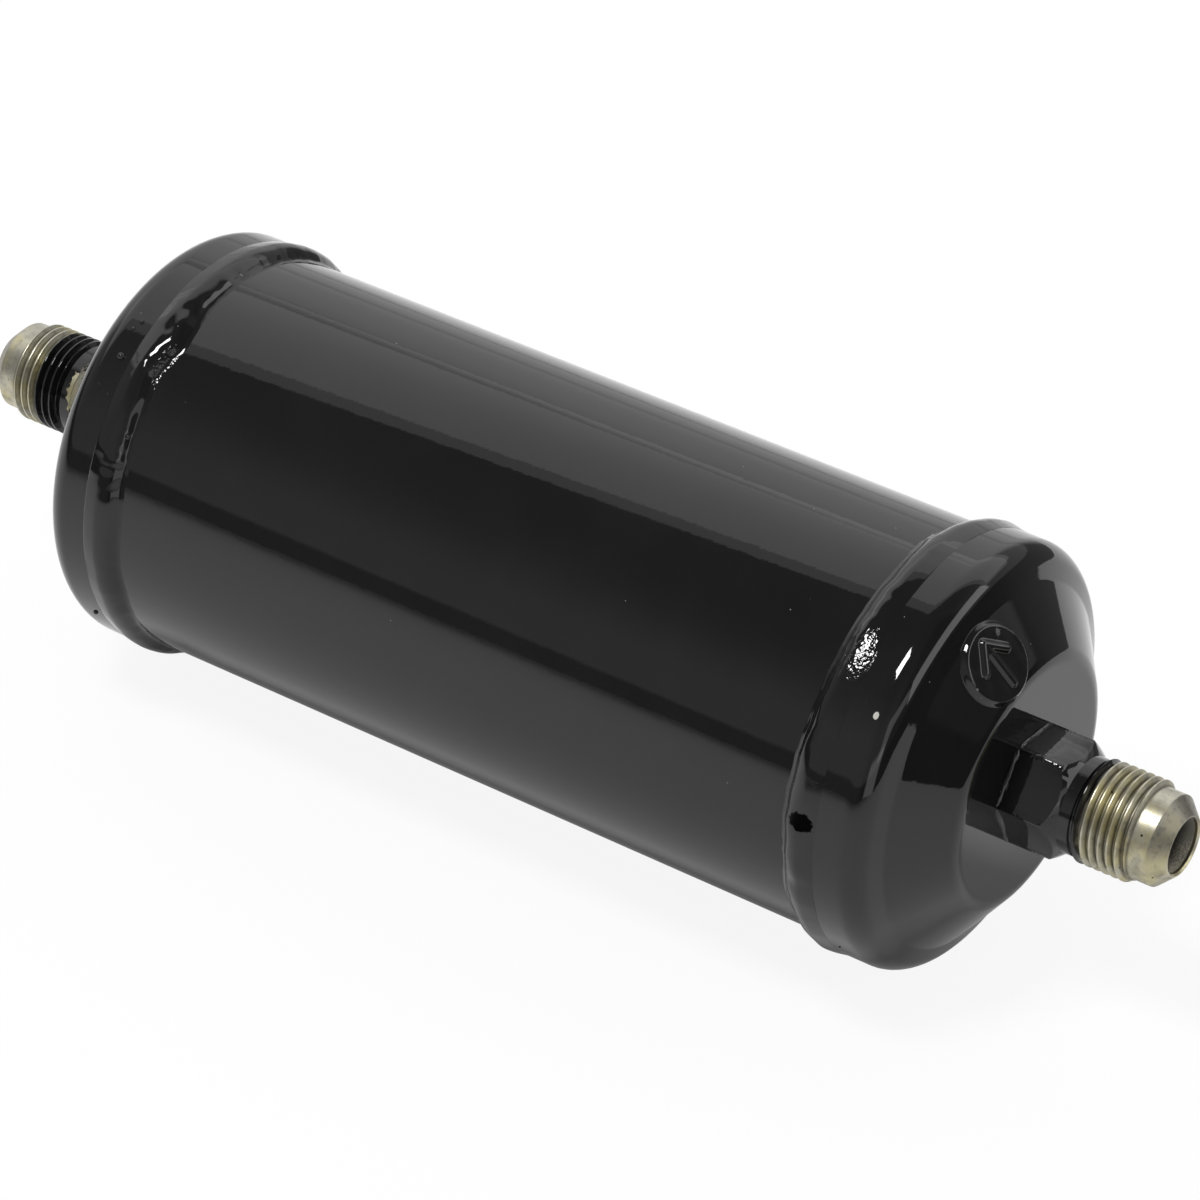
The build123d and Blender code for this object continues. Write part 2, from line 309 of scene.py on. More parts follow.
def bead_enamel(settings, end):
    """Enamel of a weld and its cap, dimpled over one stretch of the bead."""
    finish = Finish(f"{SIDES[end].title()}_End_Enamel")
    shade, rough, peel = enamel_layers(finish, settings.enamel)
    (station, angle), (length, width) = PITTED[end]
    pits = finish.spot(around_axis(end * station, angle, 33.4), (length, width, width), 0.3)
    peel = finish.bump(pits * finish.noise(0.55, 1, shift=6.0), PIT_DEPTH[end], peel)
    if end == OUTLET:
        return finish.shade(Base_Color=shade, Roughness=rough, Normal=peel)
    chip = finish.spot(around_axis(*CHIP[0]), CHIP[1], 0.2)
    burn = finish.spot(around_axis(*BURN[0]), BURN[1], 0.35)
    shade = finish.blend(chip, shade, PRIMER)
    shade = finish.blend(burn, shade, SOOT)
    return finish.shade(Base_Color=shade, Roughness=rough + chip * 0.5, Metallic=burn, Normal=peel)


def fitting_metal(settings, end):
    """Enamel over the root of a fitting, bare plating over its thread and nose."""
    finish = Finish(f"{SIDES[end].title()}_Fitting_Metal")
    shade, rough, peel = enamel_layers(finish, settings.enamel, 3.0)
    along = end * finish.x
    radius = (finish.y * finish.y + finish.z * finish.z) ** 0.5
    ragged = (finish.noise(3.0, 2) - 0.5) * (0.8 * MM)
    bare = (along + ragged).ramp((PAINT_END[end] - 0.25) * MM, (PAINT_END[end] + 0.25) * MM)
    if end == OUTLET:
        bare = bare.largest(finish.spot(around_axis(*FLAKED[0]), FLAKED[1], 0.7))

    threaded = along.ramp(102.6 * MM, 102.2 * MM)
    root = radius.ramp(7.6 * MM, 7.2 * MM) * threaded
    crest = radius.ramp(7.84 * MM, 7.9 * MM) * threaded
    # The flare cone is darker and rougher towards its top
    cone = along.ramp(105.0 * MM, 105.3 * MM) * (0.1 + 0.9 * finish.z.ramp(-1 * MM, 3 * MM))
    bore = radius.ramp(4.5 * MM, 4.35 * MM) * along.ramp(106.9 * MM, 106.7 * MM)
    stain = finish.noise(2.4, 3, shift=5.0).ramp(0.42, 0.7)
    mottle = finish.noise(0.9, 4, shift=11.0).ramp(0.48, 0.72)
    yellow = finish.noise(5.0, 3, shift=9.0).ramp(0.4, 0.62)
    worn = stain * 0.4 + mottle * 0.3
    dulled = worn.largest(cone * (0.75 + mottle * 0.25))
    plating = finish.blend(yellow * 0.9, settings.plating, YELLOWED)
    plating = finish.blend(dulled, plating, DULL_PLATING)
    # Painted shade: the thread roots are darkened
    plating = finish.blend(root * 0.6, plating, ROOT_SHADE)
    # Painted highlight: the thread crests are lightened
    plating = finish.blend(crest * 0.3, plating, CREST_HIGHLIGHT)

    # Painted shade: the bore darkens deeper in
    deep_shade = bore * along.ramp(106.4 * MM, 104.0 * MM)
    # Painted glint: golden speckles on the lower wall of the bore near its mouth
    speckle = finish.noise(0.25, 2, shift=8.0).ramp(0.3, 0.75)
    glint = (bore - deep_shade) * 0.9 * finish.z.ramp(-0.5 * MM, -3.5 * MM) * speckle
    plating = finish.blend(bore, plating, BORE_STEEL)
    plating = finish.blend(deep_shade * 0.85, plating, BORE_DEPTH_SHADE)
    plating = finish.blend(glint, plating, GLINT_GOLD)

    lines = finish.noise(0.16, 1, (1, 60, 60), shift=1.0)
    grain = finish.noise(0.5, 2, (0.35, 1.5, 1.5), shift=1.0)
    nicks = finish.dots(2.2, 0.22, 0.16, 7.0)
    colour = finish.blend(nicks, finish.blend(bare, shade, plating), NICK)
    metal_rough = 0.27 + grain * 0.12 + dulled * 0.10 + (1 - crest) * threaded * 0.14 + bore * 0.05
    arris = radius.ramp(8.7 * MM, 9.0 * MM)
    turned = finish.bump(arris * finish.noise(0.7, 1, shift=3.0), 0.08, peel)
    turned = finish.bump(bare * lines, 0.010, turned)
    turned = finish.bump(bore * finish.noise(0.3, 2), 0.015, turned)
    turned = finish.bump(bare * grain, 0.012, finish.bump(nicks, -0.12, turned))
    return finish.shade(
        Base_Color=colour, Roughness=bare * (metal_rough - rough) + rough,
        Metallic=bare * (1 - bore * 0.3 - glint * 0.8), Normal=turned,
    )


def inner_steel(name, colour, wear):
    finish = Finish(name)
    patch = finish.noise(9, 3).ramp(0.4, 0.7)
    scratch = finish.noise(0.8, 2, (6, 1, 1))
    shade = finish.blend(patch, colour, [c * wear for c in colour])
    return finish.shade(
        Base_Color=shade, Metallic=1.0, Roughness=0.32 + patch * 0.12, Normal=finish.bump(scratch, 0.01),
    )


def fibre(name, colour):
    finish = Finish(name)
    hairs = finish.noise(0.9, 4, (1, 4, 0.6), rough=0.7)
    shade = finish.blend(hairs.ramp(0.35, 0.7), [c * 0.6 for c in colour], colour)
    return finish.shade(Base_Color=shade, Roughness=0.9, Normal=finish.bump(hairs, 0.25))


def moulded_core(settings):
    finish = Finish("Moulded_Desiccant")
    beads = finish.add("ShaderNodeTexVoronoi", {}, {"Vector": finish.place, "Scale": 1 / (1.3 * MM)})
    tint = finish.noise(11, 3)
    shade = finish.blend(tint.ramp(0.4, 0.7), settings.desiccant, [c * 0.86 for c in settings.desiccant])
    shade = finish.blend(beads.ramp(0.35, 0.75), shade, [c * 0.6 for c in settings.desiccant])
    return finish.shade(Base_Color=shade, Roughness=0.85, Normal=finish.bump(beads, -0.3))


# ---- Modelling ----------------------------------------------------------------------------------
TURN, BEAD_TURN, FITTING_TURN = 192, 640, 128      # steps of a full spin


def chain(bm, end, corners):
    """Chain of edges in the plane of the axis through (station, radius, round) corners, rounded."""
    verts = [bm.verts.new((end * x * MM, 0, r * MM)) for x, r, _ in corners]
    for first, second in zip(verts, verts[1:]):
        bm.edges.new((first, second))
    places = [vert.co.copy() for vert in verts]
    for i in range(1, len(corners) - 1):
        if corners[i][2]:
            opening = (places[i - 1] - places[i]).angle(places[i + 1] - places[i])
            bmesh.ops.bevel(
                bm, geom=[verts[i]], affect="VERTICES", segments=8, profile=0.5, material=-1,
                offset=corners[i][2] * MM / math.tan(opening / 2), offset_type="OFFSET",
            )
    return bm.verts[:] + bm.edges[:]


def support(bm, step):
    """Cut the long edges of an outline, so that flat stretches keep flat shading beside the rounds."""
    for edge in bm.edges[:]:
        cuts = int(edge.calc_length() / (step * MM))
        if cuts:
            bmesh.ops.subdivide_edges(bm, edges=[edge], cuts=cuts)
    return bm.verts[:] + bm.edges[:]


def revolve(bm, geom, steps=TURN):
    bmesh.ops.spin(bm, geom=geom, axis=(1, 0, 0), cent=(0, 0, 0), angle=math.tau, steps=steps, use_merge=True)
    bmesh.ops.remove_doubles(bm, verts=bm.verts, dist=0.002 * MM)


def outward(bm):
    bmesh.ops.recalc_face_normals(bm, faces=bm.faces)


def thicken(bm, thickness, out):
    """Give an open sheet a thickness in millimetres behind its face; out tells a face its way out."""
    outward(bm)
    if sum(face.normal.dot(out(face)) for face in bm.faces) < 0:
        bmesh.ops.reverse_faces(bm, faces=bm.faces[:])
    bmesh.ops.solidify(bm, geom=bm.faces[:], thickness=thickness * MM)
    outward(bm)


def make_piece(bm, name, material, nodes, crease=40):
    """Finish a mesh as a piece that stands for CAD nodes and rides with the drier."""
    mesh = bpy.data.meshes.new(name)
    bm.to_mesh(mesh)
    bm.free()
    mesh.shade_smooth()
    mesh.set_sharp_from_angle(angle=math.radians(crease))
    mesh.materials.append(material)
    piece = bpy.data.objects.new(name, mesh)
    bpy.context.scene.collection.objects.link(piece)
    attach(piece, "root")
    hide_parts(*nodes)
    return piece


# Places on the profile of a cap: station and radius
SKIRT_ROUND = (73.2, 33.35)
CREASE = (75.2, 28.5)
FLANK_END = 19.4
PAD_SEAT = (78.3, 24.0)


def cap_outline(shell):
    """Outer outline of a pressed cap, from the free edge of its skirt to its hole."""
    return [
        (shell.skirt, SKIRT_ROUND[1], 0), (*SKIRT_ROUND, 4.0), (*CREASE, 2.0),
        (shell.land, FLANK_END, 3.5), (shell.land, shell.hole, 0),
    ]


def pressed_cap(shell, end):
    bm = bmesh.new()
    chain(bm, end, cap_outline(shell))
    revolve(bm, support(bm, 0.4))
    thicken(bm, shell.cap_wall, lambda face: face.calc_center_median())
    return bm


class DRIER_OT_tube(bpy.types.Operator):
    """Rolled tube of the shell, in gloss enamel"""
    bl_idname = "drier.tube"
    bl_label = "Tube"

    def execute(self, context):
        scene = context.scene
        inside = TUBE_RADIUS - scene.drier_shell.wall
        bm = bmesh.new()
        ring = [(-TUBE_END, inside, 0), (-TUBE_END, TUBE_RADIUS, 0), (TUBE_END, TUBE_RADIUS, 0),
                (TUBE_END, inside, 0), (-TUBE_END, inside, 0)]
        revolve(bm, chain(bm, INLET, ring))
        outward(bm)
        make_piece(bm, "painted_tube", enamel(scene.drier_finish), ["shell_tube"])
        return {"FINISHED"}


class DRIER_OT_caps(bpy.types.Operator):
    """Pressed end caps with their shoulder, crease, flank and land"""
    bl_idname = "drier.caps"
    bl_label = "End caps"

    def execute(self, context):
        scene = context.scene
        paints = {end: bead_enamel(scene.drier_finish, end) for end in SIDES}
        for end, side in SIDES.items():
            bm = pressed_cap(scene.drier_shell, end)
            make_piece(bm, f"{side}_cap_pressing", paints[end], [f"{side}_cap"])
        return {"FINISHED"}


def pad_axes(shell):
    """Centre of the pad on the flank, its outward normal, and its directions up the flank and across."""
    out = Vector((0, math.cos(shell.pad_angle), math.sin(shell.pad_angle)))
    along = Vector((1, 0, 0))
    up_flank = (along * (CREASE[0] - shell.land) + out * (CREASE[1] - FLANK_END)).normalized()
    across = along.cross(out)
    centre = (along * PAD_SEAT[0] + out * PAD_SEAT[1]) * MM
    return centre, up_flank.cross(across).normalized(), up_flank, across


ARROW = (((-3.7, 0.0), (3.6, 0.0)), ((3.6, 0.0), (0.4, 2.7)), ((3.6, 0.0), (0.4, -2.7)))


def ridge(up, across):
    """Height of the arrow's rounded strokes, 0 to 1, at a place on the pad in millimetres."""
    place = Vector((up, across))
    nearest = min((place - closest_on(place, Vector(a), Vector(b))).length for a, b in ARROW)
    return max(0.0, 1 - (nearest / 0.8) ** 2)


def closest_on(point, start, stop):
    run = stop - start
    share = min(max((point - start).dot(run) / run.length_squared, 0), 1)
    return start + run * share


def embossed_pad(shell, skin):
    """Round pad pressed out of the flank, with an arrow that points the flow into the drier."""
    centre, normal, up_flank, across = pad_axes(shell)
    reach = shell.pad_radius + 1.5
    tree = BVHTree.FromBMesh(skin)
    bm = bmesh.new()
    bmesh.ops.create_grid(bm, x_segments=110, y_segments=110, size=reach)
    far = [vert for vert in bm.verts if vert.co.length > reach]
    bmesh.ops.delete(bm, geom=far, context="VERTS")
    for vert in bm.verts:
        up, side = vert.co.x, vert.co.y
        flat = centre + (up_flank * up + across * side) * MM
        surface = tree.ray_cast(flat + normal * 0.004, -normal)[0]
        level = (surface - flat).dot(normal) / MM
        inside = 1 - smooth(shell.pad_radius - 0.3, shell.pad_radius + 0.6, math.hypot(up, side))
        sag = 0.02 * noise.noise((up * 0.45, side * 0.45, 3.0))
        rise = 0.85 + 0.6 * smooth(0, 1, ridge(up, side)) + sag
        vert.co = flat + normal * (inside * rise + (1 - inside) * level - 0.02) * MM
    thicken(bm, 0.5, lambda face: normal)
    return bm


def smooth(low, high, value):
    share = min(max((value - low) / (high - low), 0), 1)
    return share * share * (3 - 2 * share)


class DRIER_OT_pad(bpy.types.Operator):
    """Embossed pad with a flow arrow on the inlet cap"""
    bl_idname = "drier.pad"
    bl_label = "Embossed pad"

    def execute(self, context):
        scene = context.scene
        skin = bmesh.new()
        revolve(skin, chain(skin, INLET, cap_outline(scene.drier_shell)))
        bm = embossed_pad(scene.drier_shell, skin)
        skin.free()
        make_piece(bm, "flow_arrow_pad", enamel(scene.drier_finish), ["inlet_cap"], 60)
        return {"FINISHED"}


def braze_ring(shell, fitting, end):
    """Fillet of braze that narrows from the land onto the foot of the hexagon, uneven as it froze."""
    bm = bmesh.new()
    turn = Matrix.Rotation(fitting.hex_angle + math.radians(30), 4, "X")
    seat = Matrix.Translation((end * (shell.land + 0.25) * MM, 0, 0))
    lay = seat @ turn @ Matrix.Rotation(end * math.pi / 2, 4, "Y")
    foot, neck = ((fitting.flats / 2 + past) / math.cos(math.radians(30)) * MM for past in (0.55, -0.1))
    bmesh.ops.create_cone(
        bm, segments=6, radius1=foot, radius2=neck, depth=0.9 * MM, cap_ends=False, matrix=lay,
    )
    posts = [edge for edge in bm.edges if abs(edge.verts[0].co.x - edge.verts[1].co.x) > 0.1 * MM]
    bmesh.ops.bevel(bm, geom=posts, affect="EDGES", segments=5, profile=0.5, material=-1, offset=1.2 * MM)
    rims = [edge for edge in bm.edges if abs(edge.verts[0].co.x - edge.verts[1].co.x) < 0.01 * MM]
    bmesh.ops.subdivide_edges(bm, edges=rims, cuts=7, use_grid_fill=True)
    bmesh.ops.solidify(bm, geom=bm.faces[:], thickness=0.5 * MM)
    outward(bm)
    for vert in bm.verts:
        x, y, z = vert.co / MM
        swell = 0.22 * noise.noise((y * 0.35, z * 0.35, end * 4))
        swell += 0.14 * noise.noise((y * 1.1, z * 1.1, end * 2))
        spread = 1 + swell / math.hypot(y, z)
        vert.co = Vector((x + end * max(swell, -0.1), y * spread, z * spread)) * MM
    return bm


class DRIER_OT_braze(bpy.types.Operator):
    """Braze fillets round the feet of the hexagons"""
    bl_idname = "drier.braze"
    bl_label = "Braze fillets"

    def execute(self, context):
        scene = context.scene
        paint = enamel(scene.drier_finish)
        for end, side in SIDES.items():
            bm = braze_ring(scene.drier_shell, scene.drier_fitting, end)
            piece = make_piece(bm, f"{side}_braze_ring", paint, [f"{side}_braze"], 180)
            rounding = piece.modifiers.new("Rounding", "SUBSURF")
            rounding.levels = rounding.render_levels = 2
        return {"FINISHED"}


class DRIER_OT_welds(bpy.types.Operator):
    """Weld beads between the caps and the tube, with their uneven toe and run"""
    bl_idname = "drier.welds"
    bl_label = "Weld beads"

    def execute(self, context):
        scene = context.scene
        paints = {end: bead_enamel(scene.drier_finish, end) for end in SIDES}
        for end, side in SIDES.items():
            bm = weld_bead(scene.drier_shell, end)
            make_piece(bm, f"{side}_weld_bead", paints[end], [f"{side}_weld"], 60)
        return {"FINISHED"}


# Forms on each bead: station, angle in degrees, half length along X, half width round, height in millimetres
BEAD_FORMS = {
    INLET: [
        (64.0, 169.7, 1.3, 2.2, -0.22), (61.2, 118.0, 0.9, 0.7, 0.10), (62.4, 114.5, 0.8, 0.6, -0.09),
        (62.0, 121.5, 0.7, 0.7, 0.09), (63.9, 108.0, 1.6, 0.9, -0.10), (64.2, 184.2, 1.8, 2.5, 0.20),
        (62.6, 189.0, 1.4, 1.6, -0.16), (65.4, 176.5, 1.0, 1.5, 0.12), (61.7, 152.0, 0.8, 1.6, 0.14),
    ],
    OUTLET: [
        (62.8, 122.0, 2.6, 4.2, -0.12), (64.9, 110.7, 0.7, 1.7, 0.24), (63.2, 107.4, 0.9, 1.1, -0.20),
        (63.8, 114.6, 0.8, 1.6, -0.20),
        (62.6, 111.0, 0.6, 1.5, 0.16), (61.4, 124.5, 0.5, 0.7, 0.14), (61.9, 128.3, 0.6, 0.6, -0.12),
        (61.0, 130.4, 0.5, 0.6, 0.12), (62.0, 152.5, 0.9, 0.9, 0.16), (63.6, 155.0, 1.0, 0.8, -0.14),
        (64.6, 151.0, 1.1, 0.8, 0.12), (66.0, 157.5, 0.8, 0.6, 0.12),
    ],
}
# Each bead: rise over its first 0.75 mm, crest from the toe, and the angle in degrees of its dimpled stretch
# with how far its run drifts there
SOFT_TOE = {INLET: 0.34, OUTLET: 0.14}
RUN_TOP = {INLET: 2.3, OUTLET: 2.6}
DIMPLED = {INLET: (123.5, 0.3), OUTLET: (122.0, 1.4)}
# Spatter stuck to the skirts and the tube: station, angle in degrees, radius in millimetres
SPATTER = {
    INLET: [
        (65.1, 124.2, 0.13), (65.5, 127.0, 0.10), (64.9, 125.4, 0.16), (66.7, 129.8, 0.12),
        (68.5, 135.3, 0.12), (62.4, 132.2, 0.12), (57.0, 140.5, 0.16), (66.3, 192.0, 0.2),
        (52.6, 116.0, 0.12), (67.9, 214.0, 0.18),
    ],
    OUTLET: [
        (68.3, 115.7, 0.38), (68.9, 118.3, 0.34), (68.2, 126.5, 0.62), (64.7, 135.5, 0.3),
        (61.5, 145.4, 0.42), (67.4, 137.0, 0.16), (69.3, 143.4, 0.14), (68.2, 207.7, 0.42),
        (60.1, 149.4, 0.2), (55.0, 131.0, 0.16),
    ],
}


def weld_bead(shell, end):
    """Arched bead with a wandering toe and an uneven back, as hand-fed wire leaves it, and its spatter."""
    inner = TUBE_RADIUS - 0.3
    toe, heel, crest = shell.bead_toe, shell.bead_heel, TUBE_RADIUS + shell.bead_height
    bm = bmesh.new()
    arch = chain(bm, end, [
        (toe, inner, 0), (toe, TUBE_RADIUS - 0.03, 0), (toe + 0.75, TUBE_RADIUS + SOFT_TOE[end], 1.2),
        (toe + RUN_TOP[end], crest + 0.24, 2.8),
        (heel - 0.45, crest - 0.48, 0.7), (heel, TUBE_RADIUS + 0.8, 0), (heel, inner, 0), (toe, inner, 0),
    ])
    bmesh.ops.subdivide_edges(bm, edges=[item for item in arch if isinstance(item, bmesh.types.BMEdge)], cuts=1)
    revolve(bm, bm.verts[:] + bm.edges[:], BEAD_TURN)
    dimpled, drift = DIMPLED[end]
    for vert in bm.verts:
        x, y, z = vert.co / MM
        radius = math.hypot(y, z)
        if radius > TUBE_RADIUS - 0.1:
            share = min(max((end * x - toe) / (heel - toe), 0), 1)
            wander = noise.noise((y * 0.09, z * 0.09, end * 7))
            wander += 0.22 * noise.noise((y * 0.5, z * 0.5, end * 9))
            lift = 0.10 * noise.noise((x * 0.16, y * 0.22, z * 0.22 + end * 5))
            lift += 0.02 * noise.noise((x * 0.5, y * 0.6, z * 0.6 + end * 3))
            turn = math.atan2(z, y)
            past = math.degrees(math.remainder(turn - math.radians(dimpled), math.tau))
            patch = math.exp(-((past / 9) ** 2))
            lift += 0.06 * patch * noise.noise((x * 1.1, y * 1.1, z * 1.1))
            wander += drift * past / 6 * patch
            for station, angle, length, width, height in BEAD_FORMS[end]:
                along = (end * x - station) / length
                around = math.remainder(turn - math.radians(angle), math.tau) * radius / width
                lift += height * math.exp(-along * along - around * around)
            lift *= min(1, 5 * share) * min(1, 6 * (1 - share))
            vert.co += Vector((end * wander * 0.7 * (1 - share), y * lift / radius, z * lift / radius)) * MM
    for station, angle, size in SPATTER[end]:
        seat = TUBE_RADIUS + (1.35 if station > heel else 0.95 if station > toe else 0)
        place = Matrix.Translation(around_axis(end * station, angle, seat))
        bmesh.ops.create_uvsphere(bm, u_segments=20, v_segments=12, radius=size * MM, matrix=place)
    outward(bm)
    return bm


class DRIER_OT_fittings(bpy.types.Operator):
    """Flare fittings: chamfered hexagon, neck, cut thread, flare nose and bore"""
    bl_idname = "drier.fittings"
    bl_label = "Flare fittings"

    def execute(self, context):
        scene = context.scene
        for end, side in SIDES.items():
            bm = flare_fitting(scene.drier_shell, scene.drier_fitting, end)
            metal = fitting_metal(scene.drier_finish, end)
            make_piece(bm, f"{side}_flare_fitting", metal, [f"{side}_fitting"], 30)
        return {"FINISHED"}


def flare_fitting(shell, fitting, end):
    """Spun body, hexagon flats cut from it, and a thread swept along a helix between neck and nose."""
    chamfer, neck, thread, spigot = 1.8, 1.8, 9.7, 3.4
    nose, lip = 7.05, 4.75
    hex_end = shell.land + fitting.hex_length
    corner = fitting.flats / 2 / math.cos(math.radians(30))
    neck_end = hex_end + neck
    nose_start = neck_end + thread
    root = fitting.thread_radius - fitting.thread_depth
    bore = fitting.bore_radius
    bm = bmesh.new()
    chain(bm, end, [
        (neck_end, root, 0), (neck_end, fitting.collar_radius, 0), (hex_end, fitting.collar_radius, 0),
        (hex_end - chamfer, corner, 0), (shell.land, corner, 0), (shell.land, 6.5, 0),
        (shell.land - spigot, 6.5, 0), (shell.land - spigot, bore, 0), (TIP - 0.25, bore, 0),
        (TIP, bore + 0.25, 0), (TIP, lip, 0), (TIP - (nose - lip), nose, 0),
        (nose_start + 0.3, nose, 0), (nose_start, root, 0),
    ])
    revolve(bm, bm.verts[:] + bm.edges[:], FITTING_TURN)
    for side in range(6):
        turn = fitting.hex_angle + side * math.pi / 3
        flat = Vector((0, math.cos(turn), math.sin(turn)))
        cut = bmesh.ops.bisect_plane(
            bm, geom=bm.verts[:] + bm.edges[:] + bm.faces[:], dist=1e-7,
            plane_co=flat * (fitting.flats / 2 * MM), plane_no=flat, clear_outer=True,
        )
        rim = [item for item in cut["geom_cut"] if isinstance(item, bmesh.types.BMEdge)]
        bmesh.ops.edgeloop_fill(bm, edges=rim)
    arrises = [
        edge for edge in bm.edges
        if len(edge.link_faces) == 2 and edge.calc_face_angle() > 0.25
        and all(shell.land + 0.05 < end * v.co.x / MM < hex_end - 0.02 for v in edge.verts)
    ]
    bmesh.ops.bevel(
        bm, geom=arrises, affect="EDGES", segments=3, profile=0.5, material=-1, offset=0.22 * MM,
        clamp_overlap=True,
    )
    sweep_thread(bm, fitting, end, neck_end, nose_start)
    bmesh.ops.remove_doubles(bm, verts=bm.verts, dist=0.004 * MM)
    outward(bm)
    return bm


def sweep_thread(bm, fitting, end, start, stop):
    """One pitch of the thread's outline spun along its helix, then held between the neck and the nose."""
    pitch, crest = fitting.pitch, fitting.thread_radius
    root = crest - fitting.thread_depth
    outline = [(0.0, root), (0.05, root), (0.41, crest - 0.02), (0.44, crest),
               (0.56, crest), (0.59, crest - 0.02), (0.95, root), (1.0, root)]
    body = set(bm.verts)
    verts = [bm.verts.new((end * (start - 2 * pitch + p * pitch) * MM, 0, r * MM)) for p, r in outline]
    edges = [bm.edges.new(pair) for pair in zip(verts, verts[1:])]
    bmesh.ops.spin(
        bm, geom=verts + edges, axis=(end, 0, 0), cent=(0, 0, 0), angle=math.tau, steps=FITTING_TURN,
        dvec=(end * pitch / FITTING_TURN * MM, 0, 0),
    )
    turn = [v for v in bm.verts if v not in body]
    faces = list({face for vert in turn for face in vert.link_faces})
    for count in range(1, math.ceil((stop - start) / pitch) + 3):
        copy = bmesh.ops.duplicate(bm, geom=faces)["geom"]
        copied = [item for item in copy if isinstance(item, bmesh.types.BMVert)]
        bmesh.ops.translate(bm, verts=copied, vec=(end * pitch * count * MM, 0, 0))
    for vert in bm.verts:
        if vert not in body:
            station = min(max(end * vert.co.x / MM, start), stop)
            radius = math.hypot(vert.co.y, vert.co.z) / MM
            slope = min(1.2 * (station - start), 1.6 * (stop - station))
            held = min(radius, root + max(slope, 0)) / radius
            vert.co = Vector((end * station * MM, vert.co.y * held, vert.co.z * held))


# ---- Stage --------------------------------------------------------------------------------------
EYE = Vector((384.05, -538.52, 486.25)) * MM
EYE_RIGHT = Vector((0.81874, 0.57416, 0.0))
EYE_UP = Vector((-0.34105, 0.48633, 0.80447))
LENS = 163.23
BEHIND = Vector((-EYE_RIGHT.y, EYE_RIGHT.x, 0.0))      # level direction away from the camera
FLOOR_HALF = (2.16, 2.5)                               # half the floor across and behind, in metres
FLOOR_MIDDLE = (-1.89, -1.5)


def panel_lamp(name, across, back, up, size, radiance, aim=None):
    """Soft rectangular lamp at a place given across, behind and above the drier, in metres."""
    data = bpy.data.lights.new(name, "AREA")
    data.shape = "RECTANGLE"
    data.size, data.size_y = size
    data.energy = radiance * math.pi * size[0] * size[1]
    lamp = bpy.data.objects.new(name, data)
    place = EYE_RIGHT * across + BEHIND * back + Vector((0, 0, up))
    if aim is None:
        turn = Matrix((EYE_RIGHT, BEHIND, Vector((0, 0, 1)))).transposed()
    else:
        turn = (place - Vector(aim)).to_track_quat("Z", "Y").to_matrix()
    lamp.matrix_world = Matrix.Translation(place) @ turn.to_4x4()
    bpy.context.scene.collection.objects.link(lamp)


